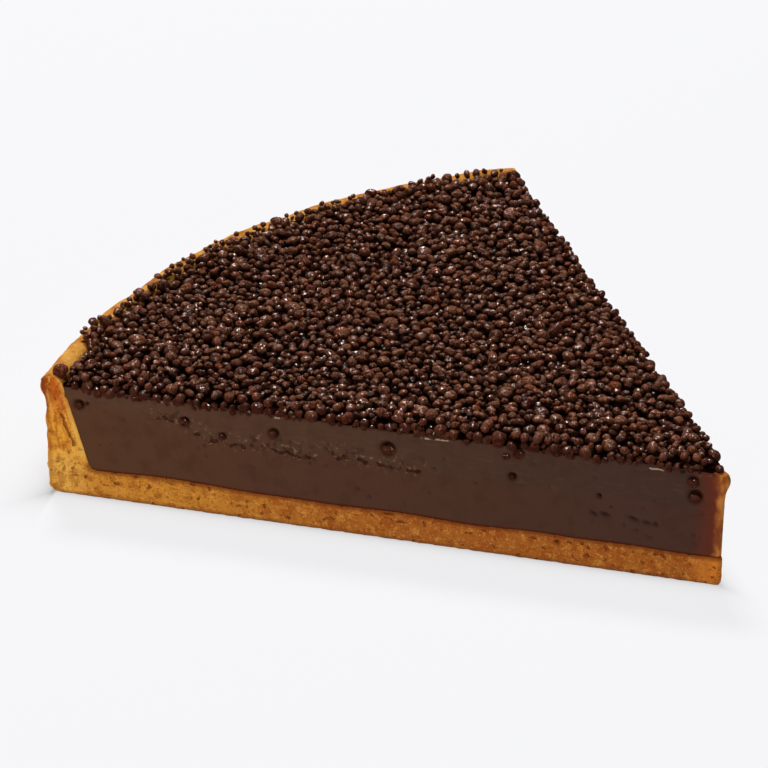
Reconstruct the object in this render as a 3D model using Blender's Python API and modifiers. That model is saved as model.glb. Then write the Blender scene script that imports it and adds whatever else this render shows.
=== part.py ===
"""A slice of chocolate tart: a pastry shell, a chocolate filling and a topping of chocolate pearls.

The whole tart is turned about its centre, made a little uneven as baked pastry is, and cut with a
wedge. Lengths are in metres and +Z is up. The long cut face looks along -Y, the thin end of the
slice points along +X, and the slice stands on z = 0 with its box centred on the origin.
"""

import math

import bmesh
import bpy
from mathutils import Vector, noise

MM = 0.001

# Driving dimensions of the tart.
TART_RADIUS = 121 * MM
CRUST_HEIGHT = 23.6 * MM
BASE_THICKNESS = 5.5 * MM
FILLING_TOP = 21.7 * MM
PEARL_DEPTH = 2.2 * MM
SLICE_ANGLE = math.radians(59.5)

# The pastry wall: thin at its crest, thicker towards the base, with a browned lip round the top.
CREST_THICKNESS = 3.4 * MM
CREST_ROUNDING = 1.4 * MM
LIP_OVERHANG = 0.5 * MM
LIP_DEPTH = 4.5 * MM
WALL_FOOT_THICKNESS = 7.6 * MM
WALL_FOOT_HEIGHT = 1.1 * MM
BOTTOM_ROUNDING = 1.6 * MM

# The tart is a little out of round: between the cuts it stands out by this much past its radius,
# most of it nearer the back cut the higher the skew is.
OUT_OF_ROUND = 1.45 * MM
OUT_OF_ROUND_SKEW = 1.5

# Unevenness of hand-made pastry, as the most that a point moves, the size of the waves and the
# place in the noise that they are read from.
BASE_UNEVEN = 0.45 * MM
BASE_WAVE = 16 * MM
BASE_PLACE = 21.75
BASE_LIFT_REACH = 3 * MM
CREST_UNEVEN = 0.45 * MM
CREST_PLACE = 11.75
WALL_UNEVEN = 0.4 * MM
WALL_WAVE = 14 * MM
WALL_PLACE = 9.0
TOP_UNEVEN = 0.25 * MM
TOP_WAVE = 25 * MM
TOP_PLACE = 5.0

# The pearls lie about two deep, and their heap has a lumpy top and a ragged edge.
PEARL_LUMP = 1.2 * MM
PEARL_SPACING = 2.4 * MM
PEARL_EDGE_RAGGED = 0.6 * MM
PEARL_EDGE_STEP = 2.0 * MM

# The knife leaves a blunt tip, and drags a small lip of chocolate out at its top.
TIP_ROUNDING = 0.5 * MM
TIP_LIP_RADII = (1.1 * MM, 0.9 * MM, 1.8 * MM)
TIP_LIP_INSET = 0.7 * MM
TIP_LIP_RISE = 0.2 * MM

GAP = 0.3 * MM
TURN_STEPS = 216
BASE_RINGS = 14
ARC_STEPS = 5
WELD_DISTANCE = 0.01 * MM

CRUST_COLOUR = (0.57, 0.20, 0.020, 1.0)
FILLING_COLOUR = (0.065, 0.030, 0.019, 1.0)
PEARL_COLOUR = (0.050, 0.020, 0.014, 1.0)


def clear_scene():
    for old in list(bpy.data.objects):
        bpy.data.objects.remove(old, do_unlink=True)


def make_collection(name):
    collection = bpy.data.collections.new(name)
    bpy.context.scene.collection.children.link(collection)
    return collection


def make_material(name, colour, roughness):
    material = bpy.data.materials.new(name)
    material.use_nodes = True
    shader = material.node_tree.nodes["Principled BSDF"]
    shader.inputs["Base Color"].default_value = colour
    shader.inputs["Roughness"].default_value = roughness
    shader.inputs["Metallic"].default_value = 0.0
    return material


def wave(x, y, size, offset=0.0):
    """A smooth uneven value between about -1 and 1, the same at the same place every time."""
    return 1.6 * noise.noise(Vector((x / size + offset, y / size - offset, offset)))


def arc(centre_r, centre_z, radius_r, radius_z, start, end):
    """Points of an elliptic arc in the (radius, height) plane, from one angle to another in degrees."""
    points = []
    for step in range(ARC_STEPS + 1):
        angle = math.radians(start + (end - start) * step / ARC_STEPS)
        points.append((centre_r + radius_r * math.cos(angle), centre_z + radius_z * math.sin(angle)))
    return points


def inside_profile(top, gap):
    """The shell's inside, from the centre of the base out and up the wall to the height top.

    With a gap it is moved in from the pastry, which gives the outline of what the shell holds.
    """
    foot_r = TART_RADIUS - WALL_FOOT_THICKNESS
    foot_z = BASE_THICKNESS + WALL_FOOT_HEIGHT
    crest_r = TART_RADIUS - CREST_THICKNESS
    flat_r = foot_r - 2 * WALL_FOOT_HEIGHT
    points = [(flat_r * ring / BASE_RINGS, BASE_THICKNESS) for ring in range(BASE_RINGS)]
    points += arc(flat_r, foot_z, foot_r - flat_r, WALL_FOOT_HEIGHT, -90, 0)
    slope = (crest_r - foot_r) / (CRUST_HEIGHT - CREST_ROUNDING - foot_z)
    points.append((foot_r + slope * (top - foot_z) / 2, (foot_z + top) / 2))
    points.append((foot_r + slope * (top - foot_z), top))
    return [(max(r - gap, 0.0) if r > 0 else 0.0, z + gap if z < top else z) for r, z in points]


def shell_profile():
    """The whole shell, from the centre of its inside over the crest and down to the centre below."""
    crest_z = CRUST_HEIGHT - CREST_ROUNDING
    half_crest = (CREST_THICKNESS + LIP_OVERHANG) / 2
    crest_middle = TART_RADIUS + LIP_OVERHANG - half_crest
    points = inside_profile(crest_z, 0.0)
    points += arc(crest_middle, crest_z, half_crest, CREST_ROUNDING, 180, 0)[1:]
    points.append((TART_RADIUS + 0.8 * LIP_OVERHANG, CRUST_HEIGHT - 0.6 * LIP_DEPTH))
    points.append((TART_RADIUS, CRUST_HEIGHT - LIP_DEPTH))
    points.append((TART_RADIUS, CRUST_HEIGHT / 2))
    corner_r = TART_RADIUS - BOTTOM_ROUNDING
    points += arc(corner_r, BOTTOM_ROUNDING, BOTTOM_ROUNDING, BOTTOM_ROUNDING, 0, -90)
    points.append((0.0, 0.0))
    return points


def filling_profile():
    """The filling, from the centre of its top out to the wall, then down it and in along the base."""
    outline = inside_profile(FILLING_TOP, GAP)
    rim_r = outline[-1][0]
    top = [(rim_r * ring / BASE_RINGS, FILLING_TOP) for ring in range(BASE_RINGS)]
    return top + outline[::-1]


def turned_mesh(name, profile, collection):
    """Turns a profile round the Z axis and returns the result as a plain mesh object."""
    line = bpy.data.meshes.new(name + "_profile")
    edges = [(i, i + 1) for i in range(len(profile) - 1)]
    line.from_pydata([(r, 0.0, z) for r, z in profile], edges, [])
    turner = bpy.data.objects.new(name + "_profile", line)
    collection.objects.link(turner)
    screw = turner.modifiers.new("turn", "SCREW")
    screw.axis = "Z"
    screw.angle = math.tau
    screw.steps = TURN_STEPS
    screw.render_steps = TURN_STEPS
    screw.use_merge_vertices = True
    screw.merge_threshold = WELD_DISTANCE
    return as_mesh_object(name, turner, collection)


def as_mesh_object(name, source, collection):
    """Replaces an object with a new one that holds its evaluated mesh, welded and facing out."""
    bpy.context.view_layer.update()
    depsgraph = bpy.context.evaluated_depsgraph_get()
    mesh = bpy.data.meshes.new_from_object(source.evaluated_get(depsgraph))
    mesh.name = name
    shape = bmesh.new()
    shape.from_mesh(mesh)
    bmesh.ops.remove_doubles(shape, verts=shape.verts, dist=WELD_DISTANCE)
    bmesh.ops.recalc_face_normals(shape, faces=shape.faces)
    shape.to_mesh(mesh)
    shape.free()
    result = bpy.data.objects.new(name, mesh)
    result.matrix_world = source.matrix_world
    collection.objects.link(result)
    bpy.data.objects.remove(source, do_unlink=True)
    return result


def base_lift(x, y, z):
    """How far the base's uneven top moves a point up or down, which fades out above and below it."""
    nearness = max(0.0, 1 - abs(z - BASE_THICKNESS) / BASE_LIFT_REACH)
    return BASE_UNEVEN * nearness * wave(x, y, BASE_WAVE, BASE_PLACE)


def bake_shell_uneven(shell):
    """Gives the turned shell its uneven base, its rising and falling crest and its wavy wall."""
    for vertex in shell.data.vertices:
        x, y, z = vertex.co
        r = math.hypot(x, y)
        if z <= 0:
            continue
        inside = r < TART_RADIUS - CREST_THICKNESS + WELD_DISTANCE
        if inside:
            vertex.co.z += base_lift(x, y, z)
        else:
            height = z / CRUST_HEIGHT
            vertex.co.z += CREST_UNEVEN * height ** 3 * wave(x, y, WALL_WAVE, CREST_PLACE)
            swell = WALL_UNEVEN * height * wave(x, y, WALL_WAVE, WALL_PLACE)
            if r > TART_RADIUS - CREST_THICKNESS / 2:
                vertex.co.x += swell * x / r
                vertex.co.y += swell * y / r


def bake_filling_uneven(filling):
    """Gives the filling the base's unevenness below and its own gentle waves on top."""
    for vertex in filling.data.vertices:
        x, y, z = vertex.co
        if z > FILLING_TOP - WELD_DISTANCE:
            vertex.co.z += TOP_UNEVEN * wave(x, y, TOP_WAVE, TOP_PLACE)
        else:
            vertex.co.z += base_lift(x, y, z - GAP)


def stand_out_of_round(piece):
    """Moves a piece's points away from the tart's centre, the most at the rim between the cuts."""
    for vertex in piece.data.vertices:
        x, y, _ = vertex.co
        share = math.atan2(y, -x) / SLICE_ANGLE
        if 0 < share < 1:
            reach = OUT_OF_ROUND * math.sin(math.pi * share ** OUT_OF_ROUND_SKEW)
            r = math.hypot(x, y)
            stretch = 1 + reach * r / TART_RADIUS ** 2
            vertex.co.x *= stretch
            vertex.co.y *= stretch


def wedge_outline(ragged):
    """The slice's outline from above, with the tart's centre at (0, 0): a wedge with a round tip.

    With a ragged amount, both cut edges wander in and out by about that much.
    """
    reach = TART_RADIUS * 1.2
    half = SLICE_ANGLE / 2
    bisector = math.pi - half
    tip_centre = Vector((math.cos(bisector), math.sin(bisector))) * (TIP_ROUNDING / math.sin(half))
    tip = []
    for step in range(ARC_STEPS + 1):
        turn = (math.pi / 2 - half) * (1 - 2 * step / ARC_STEPS)
        away = Vector((math.cos(bisector + math.pi + turn), math.sin(bisector + math.pi + turn)))
        tip.append(tip_centre + away * TIP_ROUNDING)
    start = TIP_ROUNDING / math.tan(half)
    edge_steps = int((reach - start) / PEARL_EDGE_STEP) if ragged else 1
    front, back = [], []
    for step in range(1, edge_steps + 1):
        along = start + (reach - start) * step / edge_steps
        wander = ragged * wave(along, 0.0, PEARL_EDGE_STEP * 1.3, 2.0)
        front.append(Vector((-along, -wander)))
        wander = ragged * wave(0.0, along, PEARL_EDGE_STEP * 1.3, 4.0)
        cut = Vector((math.cos(bisector - half), math.sin(bisector - half)))
        back.append(cut * along + Vector((cut.y, -cut.x)) * wander)
    return list(reversed(front)) + list(reversed(tip)) + back


def disc_outline(radius, ragged):
    """A circle about the tart's centre, pulled in here and there by up to the ragged amount."""
    steps = int(math.tau * radius / PEARL_EDGE_STEP)
    outline = []
    for step in range(steps):
        angle = math.tau * step / steps
        x, y = radius * math.cos(angle), radius * math.sin(angle)
        inset = ragged * (0.5 + 0.5 * wave(x, y, PEARL_EDGE_STEP * 1.3, 6.0))
        outline.append(Vector((x, y)) * (1 - max(inset, 0.0) / radius))
    return outline


def upright_block(name, outline, bottom, top, collection):
    """A flat outline raised into a block between two heights."""
    curve = bpy.data.curves.new(name, "CURVE")
    curve.dimensions = "2D"
    curve.fill_mode = "BOTH"
    curve.extrude = (top - bottom) / 2
    spline = curve.splines.new("POLY")
    spline.points.add(len(outline) - 1)
    for point, place in zip(spline.points, outline):
        point.co = (place.x, place.y, 0.0, 1.0)
    spline.use_cyclic_u = True
    drawn = bpy.data.objects.new(name + "_outline", curve)
    drawn.location.z = (top + bottom) / 2
    collection.objects.link(drawn)
    return as_mesh_object(name, drawn, collection)


def lumpy_block(name, bottom, top, collection):
    """A block over the whole slice whose top is a field of lumps, one for each pearl or so."""
    side = TART_RADIUS * 1.15
    cells = int(2 * side / PEARL_SPACING)
    shape = bmesh.new()
    bmesh.ops.create_grid(shape, x_segments=cells, y_segments=cells, size=side)
    for vertex in shape.verts:
        x, y, _ = vertex.co
        vertex.co.x += 0.3 * PEARL_SPACING * wave(x, y, PEARL_SPACING * 1.3, 1.0)
        vertex.co.y += 0.3 * PEARL_SPACING * wave(x, y, PEARL_SPACING * 1.3, 9.0)
        vertex.co.z = top + PEARL_LUMP * wave(x, y, PEARL_SPACING * 1.3, 8.0)
    border = [edge for edge in shape.edges if edge.is_boundary]
    skirt = bmesh.ops.extrude_edge_only(shape, edges=border)["geom"]
    for item in skirt:
        if isinstance(item, bmesh.types.BMVert):
            item.co.z = bottom
    bmesh.ops.holes_fill(shape, edges=[edge for edge in shape.edges if edge.is_boundary])
    bmesh.ops.recalc_face_normals(shape, faces=shape.faces)
    mesh = bpy.data.meshes.new(name)
    shape.to_mesh(mesh)
    shape.free()
    block = bpy.data.objects.new(name, mesh)
    collection.objects.link(block)
    return block


def tip_lip(collection):
    """The small blob of chocolate that the knife drags out at the top of the tip."""
    bpy.ops.mesh.primitive_uv_sphere_add(segments=14, ring_count=8, radius=1.0)
    lip = bpy.context.active_object
    lip.name = "tip_lip"
    for owner in list(lip.users_collection):
        owner.objects.unlink(lip)
    collection.objects.link(lip)
    bisector = math.pi - SLICE_ANGLE / 2
    for vertex in lip.data.vertices:
        vertex.co = Vector(a * b for a, b in zip(vertex.co, TIP_LIP_RADII))
    lip.location.x = math.cos(bisector) * TIP_LIP_INSET
    lip.location.y = math.sin(bisector) * TIP_LIP_INSET
    lip.location.z = FILLING_TOP + TIP_LIP_RISE - TIP_LIP_RADII[2]
    return lip


def hide_cutter(cutter):
    cutter.hide_render = True
    cutter.display_type = "WIRE"


def combine(target, other, operation):
    boolean = target.modifiers.new(operation.lower(), "BOOLEAN")
    boolean.operation = operation
    boolean.solver = "EXACT"
    boolean.object = other
    hide_cutter(other)


def finish_part(part, material):
    part.data.materials.clear()
    part.data.materials.append(material)
    part.data.shade_smooth()
    part.data.set_sharp_from_angle(angle=math.radians(40))


def centre_on_origin(parts, movers):
    """Moves everything so that the finished slice's box is centred on the origin in X and Y."""
    bpy.context.view_layer.update()
    depsgraph = bpy.context.evaluated_depsgraph_get()
    corners = []
    for part in parts:
        evaluated = part.evaluated_get(depsgraph)
        corners += [evaluated.matrix_world @ vertex.co for vertex in evaluated.data.vertices]
    middle_x = (min(c.x for c in corners) + max(c.x for c in corners)) / 2
    middle_y = (min(c.y for c in corners) + max(c.y for c in corners)) / 2
    for mover in movers:
        mover.location.x -= middle_x
        mover.location.y -= middle_y


def build():
    clear_scene()
    slice_parts = make_collection("chocolate_tart_slice")
    cutters = make_collection("cutters")

    knife = upright_block("knife_wedge", wedge_outline(0.0), -5 * MM, 2 * CRUST_HEIGHT, cutters)

    shell = turned_mesh("pastry_shell", shell_profile(), slice_parts)
    bake_shell_uneven(shell)
    stand_out_of_round(shell)
    combine(shell, knife, "INTERSECT")

    filling = turned_mesh("chocolate_filling", filling_profile(), slice_parts)
    bake_filling_uneven(filling)
    stand_out_of_round(filling)
    combine(filling, knife, "INTERSECT")
    lip = tip_lip(cutters)
    combine(filling, lip, "UNION")

    heap_bottom = FILLING_TOP + TOP_UNEVEN + GAP
    heap_edge = TART_RADIUS - CREST_THICKNESS - GAP
    pearls = lumpy_block("pearl_topping", heap_bottom, FILLING_TOP + PEARL_DEPTH, slice_parts)
    ragged_wedge = upright_block(
        "ragged_wedge", wedge_outline(PEARL_EDGE_RAGGED), 0.0, 2 * CRUST_HEIGHT, cutters
    )
    ragged_disc = upright_block(
        "ragged_disc", disc_outline(heap_edge, PEARL_EDGE_RAGGED), 0.0, 2 * CRUST_HEIGHT, cutters
    )
    stand_out_of_round(ragged_disc)
    combine(pearls, ragged_wedge, "INTERSECT")
    combine(pearls, ragged_disc, "INTERSECT")

    finish_part(shell, make_material("baked_pastry", CRUST_COLOUR, 0.75))
    finish_part(filling, make_material("set_chocolate", FILLING_COLOUR, 0.40))
    finish_part(pearls, make_material("chocolate_pearls", PEARL_COLOUR, 0.35))
    parts = [shell, filling, pearls]
    centre_on_origin(parts, parts + [knife, lip, ragged_wedge, ragged_disc])


build()
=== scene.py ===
"""Looks of a slice of chocolate tart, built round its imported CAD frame.

Everything is in metres in the frame of the CAD part: the long cut face looks along -Y, the thin tip
points along +X and the slice stands on z = 0. Shapes are worked out in the tart's own frame, whose
origin is the middle of the whole tart, and are moved to the slice's place as they become meshes.
"""

import itertools
import math

import bpy
import numpy as np
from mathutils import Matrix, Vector, geometry, noise


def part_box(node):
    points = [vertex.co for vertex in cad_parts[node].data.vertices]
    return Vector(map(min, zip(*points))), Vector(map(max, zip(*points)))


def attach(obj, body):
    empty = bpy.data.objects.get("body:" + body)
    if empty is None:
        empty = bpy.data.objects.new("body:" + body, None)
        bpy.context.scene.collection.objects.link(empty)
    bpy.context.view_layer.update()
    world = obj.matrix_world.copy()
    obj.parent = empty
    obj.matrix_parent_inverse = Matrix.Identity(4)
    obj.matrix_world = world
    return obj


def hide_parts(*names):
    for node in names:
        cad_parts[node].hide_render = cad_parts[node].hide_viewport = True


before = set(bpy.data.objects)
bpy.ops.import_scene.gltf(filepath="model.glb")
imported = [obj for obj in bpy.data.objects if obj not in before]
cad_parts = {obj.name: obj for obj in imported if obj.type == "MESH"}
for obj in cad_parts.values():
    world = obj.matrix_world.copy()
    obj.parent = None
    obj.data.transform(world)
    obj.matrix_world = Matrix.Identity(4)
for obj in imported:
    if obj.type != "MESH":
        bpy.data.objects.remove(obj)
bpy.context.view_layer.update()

MM = 0.001

# ---- The tart's dimensions -------------------------------------------------------------------

SHELL_LOW, SHELL_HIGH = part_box("pastry_shell")
SLICE_ANGLE = math.radians(59.5)
HALF_ANGLE = SLICE_ANGLE / 2
TIP_ROUNDING = 0.5 * MM
TIP_START = TIP_ROUNDING / math.tan(HALF_ANGLE)
TIP_TURN = math.pi / 2 - HALF_ANGLE
TART_CENTRE = np.array([SHELL_HIGH.x + TIP_START - TIP_ROUNDING, SHELL_LOW.y, 0.0])

RADIUS = 121 * MM
CRUST_HEIGHT = 23.6 * MM
BASE_THICKNESS = 5.5 * MM
FILLING_TOP = 21.7 * MM
CREST_THICKNESS = 3.4 * MM
CREST_ROUNDING = 1.4 * MM
LIP_OVERHANG = 0.7 * MM
LIP_DEPTH = 2.4 * MM
BOTTOM_ROUNDING = 1.6 * MM
FOOT_R = RADIUS - 7.6 * MM
FOOT_Z = BASE_THICKNESS + 1.1 * MM
FLAT_R = FOOT_R - 2.2 * MM
CREST_R = RADIUS - CREST_THICKNESS
CREST_Z = CRUST_HEIGHT - CREST_ROUNDING
OUT_OF_ROUND = 1.45 * MM
OUT_OF_ROUND_SKEW = 1.5
WALL_SLOPE = (CREST_R - FOOT_R) / (CREST_Z - FOOT_Z)
TIP_X = TART_CENTRE[0] - TIP_START

# ---- Numbers that make things uneven -----------------------------------------------------------


def noise3(points, size, seed):
    """Smooth gradient noise, about -1 to 1, at an array of points, in waves of the given size."""
    source = np.random.default_rng(seed)
    table = np.tile(source.permutation(256), 3)
    slopes = source.normal(size=(256, 3))
    slopes /= np.linalg.norm(slopes, axis=1)[:, None]
    place = np.asarray(points) / size
    cell = np.floor(place).astype(int)
    part = place - cell
    fade = part * part * part * (part * (part * 6 - 15) + 10)
    total = np.zeros(len(place))
    for corner in itertools.product((0, 1), repeat=3):
        key = (cell + corner) & 255
        slope = slopes[table[table[table[key[:, 0]] + key[:, 1]] + key[:, 2]]]
        weight = np.prod(np.where(corner, fade, 1 - fade), axis=1)
        total += weight * np.sum(slope * (part - corner), axis=1)
    return 1.6 * total


def rough3(points, size, seed, octaves=3):
    """Several sizes of noise added up, each half the size and strength of the one before."""
    total = np.zeros(len(points))
    for octave in range(octaves):
        total += 0.5 ** octave * noise3(points, size * 0.5 ** octave, seed + octave)
    return total


def smooth(value, low, high):
    """0 below low, 1 above high and a soft step between."""
    step = np.clip((value - low) / (high - low), 0, 1)
    return step * step * (3 - 2 * step)


def wave(points, size, offset=0.0):
    """The CAD part's own unevenness, at points in the tart's frame."""
    return np.array([
        1.6 * noise.noise(Vector((x / size + offset, y / size - offset, offset)))
        for x, y in points[:, :2].tolist()
    ])


def uneven(points):
    """Moves points of the evenly turned tart to where the hand-made one has them."""
    moved = points.copy()
    x, y, z = points.T
    r = np.hypot(x, y)
    near_base = np.clip(1 - np.abs(z - BASE_THICKNESS) / (3 * MM), 0, 1)
    near_base *= 1 - smooth(r, FOOT_R, CREST_R)
    near_crest = smooth(r, CREST_R - 1 * MM, CREST_R + 0.5 * MM) * (z / CRUST_HEIGHT) ** 3
    near_top = smooth(z, FILLING_TOP - 3 * MM, FILLING_TOP) * (1 - smooth(r, CREST_R - 1 * MM, CREST_R))
    moved[:, 2] += 0.45 * MM * near_base * wave(points, 16 * MM, 21.75)
    moved[:, 2] += 0.45 * MM * near_crest * wave(points, 14 * MM, 11.75)
    moved[:, 2] += 0.25 * MM * near_top * wave(points, 25 * MM, 5.0)
    outer = smooth(r, CREST_R + 0.5 * MM, RADIUS - 1 * MM)
    swell = 0.4 * MM * outer * (z / CRUST_HEIGHT) * wave(points, 14 * MM, 9.0)
    share = np.clip(np.arctan2(y, -x) / SLICE_ANGLE, 0, 1)
    stretch = OUT_OF_ROUND * np.sin(math.pi * share ** OUT_OF_ROUND_SKEW) * r / RADIUS ** 2
    moved[:, :2] *= (1 + swell / np.maximum(r, MM) + stretch)[:, None]
    return moved


# ---- The knife's path ---------------------------------------------------------------------------


def cut_path(along):
    """Places on the cut and its outward directions, as (n, 2) arrays.

    The distance along it is 0 at the middle of the tip, negative on the front cut and positive on
    the back cut.
    """
    turn = np.clip(along / TIP_ROUNDING, -TIP_TURN, TIP_TURN)
    angle = turn - HALF_ANGLE
    out = np.stack([np.cos(angle), np.sin(angle)], 1)
    onward = np.stack([-out[:, 1], out[:, 0]], 1)
    straight = (along - turn * TIP_ROUNDING)[:, None]
    centre = np.array([-TIP_START, TIP_ROUNDING])
    return centre + TIP_ROUNDING * out + straight * onward, out


def along_of(r):
    """The distance along the cut from the tip to a distance r from the tart's centre."""
    return r + TIP_ROUNDING * TIP_TURN - TIP_START


def on_cut(along, height, inset=0.0):
    """Points on the cut in the tart's frame, moved in from it by the inset."""
    place, out = cut_path(np.asarray(along, float))
    flat = place - out * np.asarray(inset, float)[..., None]
    return np.column_stack([flat, np.broadcast_to(height, len(flat))])


# ---- Mesh building ------------------------------------------------------------------------------


class Skin:
    """The surface of one piece: its vertices, its faces and a number or more at each vertex."""

    def __init__(self):
        self.points = np.zeros((0, 3))
        self.faces = []

    def add(self, points):
        """Adds an array of points of any shape and returns their indices in that shape."""
        points = np.asarray(points, float)
        first = len(self.points)
        self.points = np.vstack([self.points, points.reshape(-1, 3)])
        return np.arange(first, len(self.points)).reshape(points.shape[:-1])

    def grid(self, index, flip=False):
        """Faces between neighbouring rows and columns of an array of indices."""
        corners = [index[:-1, :-1], index[1:, :-1], index[1:, 1:], index[:-1, 1:]]
        quads = np.stack(corners, -1).reshape(-1, 4)
        for quad in (quads[:, ::-1] if flip else quads).tolist():
            face = [v for place, v in enumerate(quad) if v != quad[place - 1]]
            if len(face) > 2:
                self.faces.append(face)

    def patch(self, border, spacing, seed, flip=False):
        """Fills a closed border, seen from above, with triangles; returns the points it adds."""
        edge = self.points[border][:, :2]
        low, high = edge.min(0), edge.max(0)
        steps = np.maximum(((high - low) / spacing).astype(int), 2)
        axes = [np.linspace(low[i], high[i], steps[i]) for i in (0, 1)]
        inner = np.stack(np.meshgrid(*axes), -1).reshape(-1, 2)
        inner += np.random.default_rng(seed).uniform(-0.3, 0.3, inner.shape) * spacing
        inner = inner[inside(inner, edge)]
        gap = np.array([np.min(np.sum((edge - p) ** 2, 1)) for p in inner])
        inner = inner[gap > (0.6 * spacing) ** 2]
        added = self.add(np.column_stack([inner, np.zeros(len(inner))]))
        ids = np.concatenate([border, added])
        flat = [Vector(p) for p in self.points[ids][:, :2].tolist()]
        result = geometry.delaunay_2d_cdt(flat, [], [list(range(len(border)))], 1, 1e-9)
        source = [ids[origins[0]] for origins in result[3]]
        for face in result[2]:
            corners = [int(source[v]) for v in face]
            self.faces.append(corners[::-1] if flip else corners)
        return added

    def mesh(self, name, marks=None):
        """Makes the piece at the slice's place. marks are named numbers, one at each vertex."""
        data = bpy.data.meshes.new(name)
        data.from_pydata((self.points + TART_CENTRE).tolist(), [], self.faces)
        for label, values in (marks or {}).items():
            layer = data.attributes.new(label, "FLOAT", "POINT")
            layer.data.foreach_set("value", np.asarray(values, np.float32))
        data.validate()
        piece = bpy.data.objects.new(name, data)
        bpy.context.scene.collection.objects.link(piece)
        data.shade_smooth()
        return piece


def inside(points, polygon):
    """Which points lie in a polygon, by counting the edges that a line to one side crosses."""
    x, y = points.T
    found = np.zeros(len(points), bool)
    for (x0, y0), (x1, y1) in zip(polygon, np.roll(polygon, -1, axis=0)):
        if y0 != y1:
            spans = (y0 > y) != (y1 > y)
            found ^= spans & (x < (x1 - x0) * (y - y0) / (y1 - y0) + x0)
    return found


def dents(along, height, marks):
    """How deep a set of dents is at each place. A mark is (along, height, half width, half height,
    depth, tilt in degrees)."""
    depth = np.zeros(len(along))
    for a, h, wide, tall, deep, tilt in marks:
        near = (np.abs(along - a) < 2.2 * max(wide, tall)) & (np.abs(height - h) < 2.2 * max(wide, tall))
        if not near.any():
            continue
        c, s = math.cos(math.radians(tilt)), math.sin(math.radians(tilt))
        da, dh = along[near] - a, height[near] - h
        far = ((da * c + dh * s) / wide) ** 2 + ((dh * c - da * s) / tall) ** 2
        depth[near] = np.maximum(depth[near], deep * np.exp(-far ** 1.5))
    return depth


# ---- Pastry crust --------------------------------------------------------------------------------

CUT_STEP = 0.36 * MM
CUT_SWELL = 0.15 * MM
CRUST_ROWS = 19
CORNER_COLUMNS = 34
WALL_COLUMNS = 44
CREST_COLUMNS = 6
TURN_STEP = 0.45 * MM

# Places on the front cut, as (distance from the tip, height) in millimetres: the one round air hole in
# the base, and the split that runs beside the inside of the wall.
AIR_HOLE = (28.3, 4.2)
WALL_SPLIT = ((117.0, 16.0), (116.2, 13.4), (115.1, 10.2))


def outer_radius(z):
    """The outside of the crust: it leans out a little and swells to a lip under the crest."""
    lip = LIP_OVERHANG * np.exp(-((z - CRUST_HEIGHT + LIP_DEPTH) / LIP_DEPTH * 1.3) ** 2)
    return RADIUS + lip


def spread(path, count):
    """Points evenly spaced along a path of (distance, height) points."""
    path = np.asarray(path, float)
    length = np.concatenate([[0], np.cumsum(np.linalg.norm(np.diff(path, axis=0), axis=1))])
    at = np.linspace(0, length[-1], count)
    return np.stack([np.interp(at, length, path[:, i]) for i in (0, 1)], 1)


def crust_section():
    """The pastry's section as a grid of (r, z): columns from the tip out and up to the crest, rows
    from its underside or outside to its inside. r below zero stands for the rounded tip."""
    across = np.linspace(0, 1, CRUST_ROWS)[None, :, None]
    tip_r = -along_of(0.0)
    base_columns = int((FLAT_R - tip_r) / CUT_STEP)
    r = np.linspace(tip_r, FLAT_R, base_columns)
    below = np.stack([r, 0 * r], 1)
    above = np.stack([r, 0 * r + BASE_THICKNESS], 1)

    quarter = np.linspace(-math.pi / 2, 0, 12)
    knee_r = RADIUS - BOTTOM_ROUNDING
    knee = np.stack([knee_r + BOTTOM_ROUNDING * np.cos(quarter), BOTTOM_ROUNDING * (1 + np.sin(quarter))], 1)
    turn_z = 1.25 * FOOT_Z
    low_wall = np.linspace(BOTTOM_ROUNDING, turn_z, 8)[1:]
    corner_out = np.vstack([[FLAT_R, 0], knee, np.stack([outer_radius(low_wall), low_wall], 1)])
    fillet = np.stack([FLAT_R + (FOOT_R - FLAT_R) * np.cos(quarter),
                       FOOT_Z + (FOOT_Z - BASE_THICKNESS) * np.sin(quarter)], 1)
    high_wall = np.linspace(turn_z, CREST_Z, 60)
    wall_out = np.stack([outer_radius(high_wall), high_wall], 1)
    wall_in = np.array([[FOOT_R, FOOT_Z], [CREST_R, CREST_Z]])

    outside = np.vstack([below, spread(corner_out, CORNER_COLUMNS)[1:], spread(wall_out, WALL_COLUMNS)[1:]])
    inner = np.vstack([above, spread(fillet, CORNER_COLUMNS)[1:], spread(wall_in, WALL_COLUMNS)[1:]])
    section = outside[:, None] * (1 - across) + inner[:, None] * across

    half = (outside[-1, 0] - CREST_R) / 2
    swing = np.linspace(0, math.pi, CRUST_ROWS)
    for column in range(1, CREST_COLUMNS + 1):
        rise = column / CREST_COLUMNS
        over = CREST_R + half * (1 + np.cos(swing))
        flat = section[len(outside) - 1, :, 0]
        curve = np.stack([flat * (1 - rise) + over * rise, CREST_Z + CREST_ROUNDING * rise * np.sin(swing)], 1)
        section = np.vstack([section, curve[None]])
    return section, base_columns, len(outside)


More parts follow.
